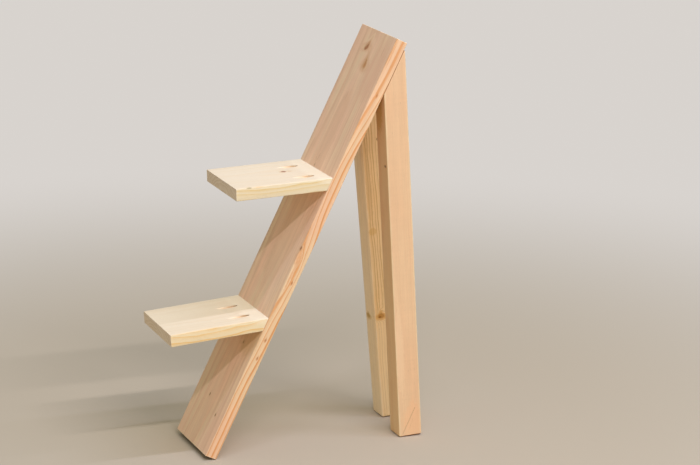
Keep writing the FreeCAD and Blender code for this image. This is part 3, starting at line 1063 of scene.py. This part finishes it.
def front_board():
    stock = Stock("front_board", BOARD_LEAN)
    piece = stock_object(
        stock, "front_board_wood", arris=0.0008, wear=0.35, nicks=BOARD_NICKS,
        end_eases=(0.0005, 0.0004))
    pocket_seats = SHELF_SEATS["upper_shelf"] + SHELF_SEATS["lower_shelf"]
    holes = [(shank_outline(POCKET_SCREW_LENGTH), seat) for seat in pocket_seats]
    holes += [(shank_outline(SHORT_SCREW_LENGTH), seat) for seat in SHORT_SEATS]
    holes += [(shank_outline(LONG_SCREW_LENGTH), seat) for seat in LONG_SEATS]
    finish_wood(piece, stock, BOARD_FIR, holes)


def shelf(node, lean, wood, nicks, skew):
    stock = Stock(node, lean)
    stock.skew = skew
    piece = stock_object(
        stock, node + "_wood", arris=0.0008, wear=0.4, nicks=nicks, end_eases=(0.0004, 0.0006))
    holes = [(pocket_outline(), seat) for seat in SHELF_SEATS[node]]
    finish_wood(piece, stock, wood, holes)


def leg(node, lean, wood, side):
    """A leg whose foot stands on its front edge, with a hair's gap under the back."""
    stock = Stock(node, lean)
    front_height, back_height = stock.bottom
    stock.bottom = (front_height, back_height + HEEL_GAP)
    piece = stock_object(
        stock, node + "_wood", arris=0.0014, wear=0.4, nicks=[], end_eases=(0.0018, 0.0007))
    holes = [
        (countersunk_outline(SHORT_SCREW_LENGTH), SHORT_SEATS[side]),
        (countersunk_outline(LONG_SCREW_LENGTH), LONG_SEATS[side])]
    finish_wood(piece, stock, wood, holes)


def screws():
    """The screws keep the frame's own solids, with a plating."""
    plating = zinc_steel()
    for place in ("upper_shelf", "lower_shelf", "short_leg", "long_leg"):
        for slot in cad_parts[place + "_screws"].material_slots:
            slot.material = plating


front_board()
shelf("upper_shelf", UPPER_SHELF_LEAN, UPPER_SHELF_PINE, UPPER_WANE, UPPER_SKEW)
shelf("lower_shelf", LOWER_SHELF_LEAN, LOWER_SHELF_PINE, [], LOWER_SKEW)
leg("right_leg", RIGHT_LEG_LEAN, LEG_FIR, 1)
leg("left_leg", LEFT_LEG_LEAN, LEG_PINE, 0)
screws()


# Stage, lamps and camera

def floor():
    mesh = bpy.data.meshes.new("floor")
    corners = [(x * FLOOR_REACH, y * FLOOR_REACH, 0) for x, y in CORNERS]
    mesh.from_pydata(corners, [], [(0, 1, 2, 3)])
    piece = bpy.data.objects.new("floor", mesh)
    bpy.context.scene.collection.objects.link(piece)
    material, t, shader = new_material("pale floor")
    shader.inputs["Roughness"].default_value = 0.9
    rays = t.node("LightPath").outputs
    seen = t.math("MAXIMUM", rays["Is Camera Ray"], rays["Is Glossy Ray"])
    seen = t.math("MAXIMUM", seen, rays["Is Transmission Ray"])
    away = t.vector("LENGTH", place_of(t))
    far = t.math("MULTIPLY", t.smooth(away, *FLOOR_FADE), seen)
    shader.inputs["Emission Color"].default_value = rgba(FAR_FLOOR_COLOUR)
    t.feed(shader.inputs["Emission Strength"], far)
    near = t.mix(seen, rgba(FLOOR_BOUNCE_COLOUR), rgba(FLOOR_COLOUR))
    t.feed(shader.inputs["Base Color"], t.mix(far, near, (0, 0, 0, 1)))
    mesh.materials.append(material)


def strip_lamp(name, energy, colour, direction, distance, width, length):
    """A long lamp that runs front to back and points at the stand's middle."""
    data = bpy.data.lights.new(name, "AREA")
    data.energy = energy
    data.color = colour
    data.shape = "RECTANGLE"
    data.size = width
    data.size_y = length
    piece = bpy.data.objects.new(name, data)
    toward = Vector(direction).normalized()
    piece.location = STAND_MIDDLE + toward * distance
    across = Vector((0, 1, 0)).cross(toward).normalized()
    piece.rotation_euler = Matrix((across, toward.cross(across), toward)).transposed().to_euler()
    bpy.context.scene.collection.objects.link(piece)


def lights():
    strip_lamp("side lamp", **SIDE_LAMP)
    strip_lamp("top lamp", **TOP_LAMP)
    world = bpy.data.worlds.new("studio")
    bpy.context.scene.world = world
    world.use_nodes = True
    t = Tree(world.node_tree)
    direction = t.node("SeparateXYZ", {0: t.node("TexCoord").outputs["Generated"]}).outputs
    front = t.smooth(direction["Y"], *FRONT_REACH)
    backdrop = world.node_tree.nodes["Background"]
    t.feed(backdrop.inputs["Color"], t.mix(front, rgba(ROOM_COLOUR), rgba(FRONT_COLOUR)))
    backdrop.inputs["Strength"].default_value = ROOM_LEVEL


def camera():
    data = bpy.data.cameras.new("camera")
    data.sensor_width = SENSOR_WIDTH
    data.lens = FOCAL_PIXELS * SENSOR_WIDTH / FRAME_WIDTH
    piece = bpy.data.objects.new("camera", data)
    piece.location = CAMERA_PLACE
    turn = Matrix.Rotation(math.radians(CAMERA_AZIMUTH), 3, "Z")
    turn = turn @ Matrix.Rotation(math.radians(90 - CAMERA_PITCH), 3, "X")
    turn = turn @ Matrix.Rotation(math.radians(CAMERA_ROLL), 3, "Z")
    piece.rotation_euler = turn.to_euler()
    bpy.context.scene.collection.objects.link(piece)
    bpy.context.scene.camera = piece


floor()
lights()
camera()
bpy.context.scene.view_settings.view_transform = "Standard"
bpy.context.view_layer.update()
